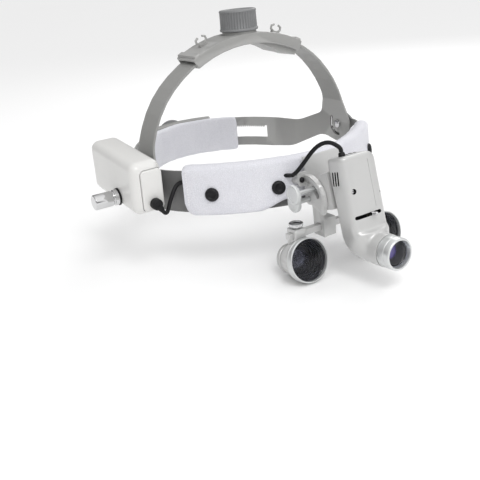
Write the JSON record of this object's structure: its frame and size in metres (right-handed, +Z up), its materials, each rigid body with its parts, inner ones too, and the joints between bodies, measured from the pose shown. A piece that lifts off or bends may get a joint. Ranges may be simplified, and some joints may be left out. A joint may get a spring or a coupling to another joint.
{
  "type": "dental loupes",
  "caption": "Headband dental loupes: adjustable crown and rear straps, padded brow band, side battery case, tilting headlight and a pair of magnifying barrels on a bar.",
  "frame": {"origin": "middle of the head opening, on the line across the temples, level with the middle of the front band", "axes": "the wearer looks along -Y, +X is the wearer's left, +Z is up"},
  "size_m": [0.2451, 0.3214, 0.1823],
  "materials": {
    "grey_plastic": "satin",
    "white_leather": "matte",
    "case_plastic": "satin",
    "silver_paint": "satin metallic",
    "chrome": "polished",
    "black_plastic": "satin",
    "black_rubber": "matte",
    "steel": "satin",
    "glass": "coated",
    "yellow_glass": "polished",
    "cell_wrap": "satin",
    "circuit_board": "satin",
    "aluminium": "satin"
  },
  "bodies": {
    "front_frame": {"front_band": "grey_plastic", "forehead_pad": "white_leather", "snap_button_1": "black_plastic", "snap_button_2": "black_plastic", "snap_button_3": "black_plastic", "snap_button_4": "black_plastic", "temple_screw_left": "steel", "temple_screw_right": "steel", "temple_nut_left": "steel", "temple_nut_right": "steel", "battery_case": "case_plastic", "battery_end_cover": "case_plastic", "battery_cell": "cell_wrap", "cell_holder": "black_plastic", "driver_board": "circuit_board", "dimmer_bush": "black_rubber", "case_bracket": "black_plastic", "cable_plug": "black_rubber", "power_cable": "black_rubber", "front_bracket": "silver_paint", "bracket_screw_side": "black_plastic", "bracket_screw_middle": "black_plastic", "lamp_cable": "black_rubber"},
    "crown_frame": {"yoke_left": "grey_plastic", "yoke_right": "grey_plastic", "crown_housing": "grey_plastic", "crown_pinion": "black_plastic", "rear_housing": "grey_plastic", "rear_pinion": "black_plastic", "rear_pad": "white_leather"},
    "crown_knob": {"crown_knob": "grey_plastic"},
    "rear_knob": {"rear_knob": "grey_plastic"},
    "dimmer_knob": {"dimmer_knob": "chrome"},
    "lamp": {"lamp_carrier": "silver_paint", "lamp_housing": "silver_paint", "lamp_rear_cover": "silver_paint", "cable_grommet": "black_rubber", "heat_sink": "aluminium", "led_board": "circuit_board", "condenser_lens": "glass", "lamp_lens_ring": "silver_paint", "lamp_front_lens": "glass"},
    "filter_slide": {"filter_slide": "yellow_glass"},
    "arc_thumbscrew": {"arc_thumbscrew": "silver_paint"},
    "pivot_thumbscrew": {"pivot_thumbscrew": "silver_paint"},
    "loupe_arm": {"loupe_arm": "silver_paint", "pupil_bar": "silver_paint"},
    "loupe_left": {"loupe_holder_left": "silver_paint", "barrel_left": "silver_paint", "objective_ring_left": "silver_paint", "objective_lens_left": "glass", "eyepiece_lens_left": "glass"},
    "loupe_right": {"loupe_holder_right": "silver_paint", "barrel_right": "silver_paint", "objective_ring_right": "silver_paint", "objective_lens_right": "glass", "eyepiece_lens_right": "glass"},
    "loupe_thumbscrew_left": {"loupe_thumbscrew_left": "chrome"},
    "loupe_thumbscrew_right": {"loupe_thumbscrew_right": "chrome"}
  },
  "joints": [
    {"name": "temple_pivot", "type": "hinge", "parent": "front_frame", "child": "crown_frame", "pos_m": [0, 0.0207, 0.008], "axis": [1, 0, 0], "range_deg": [-30, 30]},
    {"name": "crown_adjuster", "type": "hinge", "parent": "crown_frame", "child": "crown_knob", "pos_m": [0, 0.0237, 0.095], "axis": [0, 0, 1], "range_deg": [-100, 280]},
    {"name": "rear_adjuster", "type": "hinge", "parent": "crown_frame", "child": "rear_knob", "pos_m": [0, 0.15, -0.006], "axis": [0, 1, 0], "range_deg": [-100, 280]},
    {"name": "dimmer_turn", "type": "hinge", "parent": "front_frame", "child": "dimmer_knob", "pos_m": [-0.125, 0.01423, -0.00248], "axis": [-1, 0, 0], "range_deg": [0, 270]},
    {"name": "lamp_tilt", "type": "hinge", "parent": "front_frame", "child": "lamp", "pos_m": [-0.0176, -0.079, -0.0105], "axis": [1, 0, 0], "range_deg": [-15, 15], "deforming": ["lamp_cable"]},
    {"name": "filter_travel", "type": "slide", "parent": "lamp", "child": "filter_slide", "axis": [1, 0, 0], "range_m": [-0.011, 0.005]},
    {"name": "arc_thumbscrew_turn", "type": "hinge", "parent": "lamp", "child": "arc_thumbscrew", "pos_m": [-0.0176, -0.08519, -0.00165], "axis": [1, 0, 0], "range_deg": [0, 180]},
    {"name": "pivot_thumbscrew_turn", "type": "hinge", "parent": "front_frame", "child": "pivot_thumbscrew", "pos_m": [-0.0176, -0.079, -0.0105], "axis": [1, 0, 0], "range_deg": [0, 180]},
    {"name": "loupe_tilt", "type": "hinge", "parent": "front_frame", "child": "loupe_arm", "pos_m": [-0.0176, -0.079, -0.0105], "axis": [1, 0, 0], "range_deg": [-12, 8]},
    {"name": "pupil_slide_left", "type": "slide", "parent": "loupe_arm", "child": "loupe_left", "axis": [1, 0, 0], "range_m": [-0.004, 0.005]},
    {"name": "pupil_slide_right", "type": "slide", "parent": "loupe_arm", "child": "loupe_right", "axis": [-1, 0, 0], "range_m": [-0.003, 0.005]},
    {"name": "loupe_screw_turn_left", "type": "hinge", "parent": "loupe_left", "child": "loupe_thumbscrew_left", "pos_m": [0.0385, -0.082, -0.0276], "axis": [0, 0, 1], "range_deg": [0, 180]},
    {"name": "loupe_screw_turn_right", "type": "hinge", "parent": "loupe_right", "child": "loupe_thumbscrew_right", "pos_m": [-0.034, -0.082, -0.0276], "axis": [0, 0, 1], "range_deg": [0, 180]}
  ]
}
